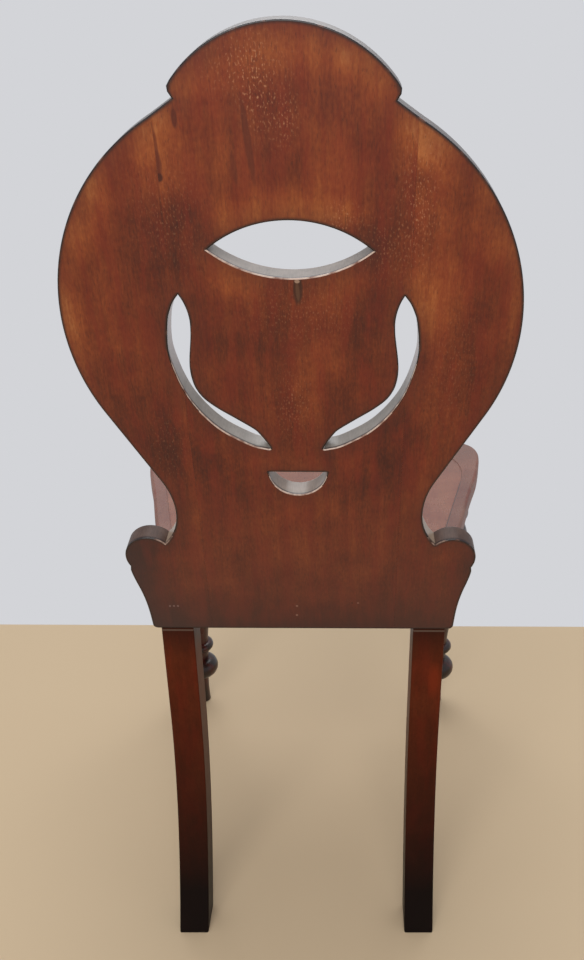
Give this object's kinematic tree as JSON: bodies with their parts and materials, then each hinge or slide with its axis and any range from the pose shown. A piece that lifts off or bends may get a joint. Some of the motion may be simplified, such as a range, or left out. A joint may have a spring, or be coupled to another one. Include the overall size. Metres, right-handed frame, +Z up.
{
  "type": "hall chair",
  "caption": "Wooden hall chair: leaning pierced back board, flat seat on a joined frame, turned front legs and square swept rear legs.",
  "frame": {"origin": "on the floor, under the middle of the chair's bounding box", "axes": "+Z up; the seat's front faces -Y; +X is the left side of someone sitting in the chair"},
  "size_m": [0.454, 0.5097, 0.9208],
  "materials": {
    "back_mahogany": "satin French polish, worn along the edges",
    "seat_mahogany": "glossy French polish",
    "frame_mahogany": "satin stain and polish",
    "leg_mahogany": "dark satin French polish",
    "block_softwood": "bare sawn wood",
    "screw_steel": "dull aged steel"
  },
  "bodies": {
    "root": {"back_board_left": "back_mahogany", "back_board_centre": "back_mahogany", "back_board_right": "back_mahogany", "seat_board_left": "seat_mahogany", "seat_board_right": "seat_mahogany", "front_rail": "frame_mahogany", "rear_rail": "frame_mahogany", "side_rail_left": "frame_mahogany", "side_rail_right": "frame_mahogany", "front_leg_left": "leg_mahogany", "front_leg_right": "leg_mahogany", "rear_leg_left": "leg_mahogany", "rear_leg_right": "leg_mahogany", "front_corner_block_left": "block_softwood", "front_corner_block_right": "block_softwood", "rear_corner_block_left": "block_softwood", "rear_corner_block_right": "block_softwood", "seat_screw_front_block_left": "screw_steel", "seat_screw_front_block_right": "screw_steel", "seat_screw_rear_block_left": "screw_steel", "seat_screw_rear_block_right": "screw_steel", "seat_screw_side_rail_left": "screw_steel", "seat_screw_side_rail_right": "screw_steel", "seat_screw_front_rail_left": "screw_steel", "seat_screw_front_rail_right": "screw_steel", "back_screw_1": "screw_steel", "back_screw_2": "screw_steel", "back_screw_3": "screw_steel", "back_screw_4": "screw_steel"}
  },
  "joints": []
}
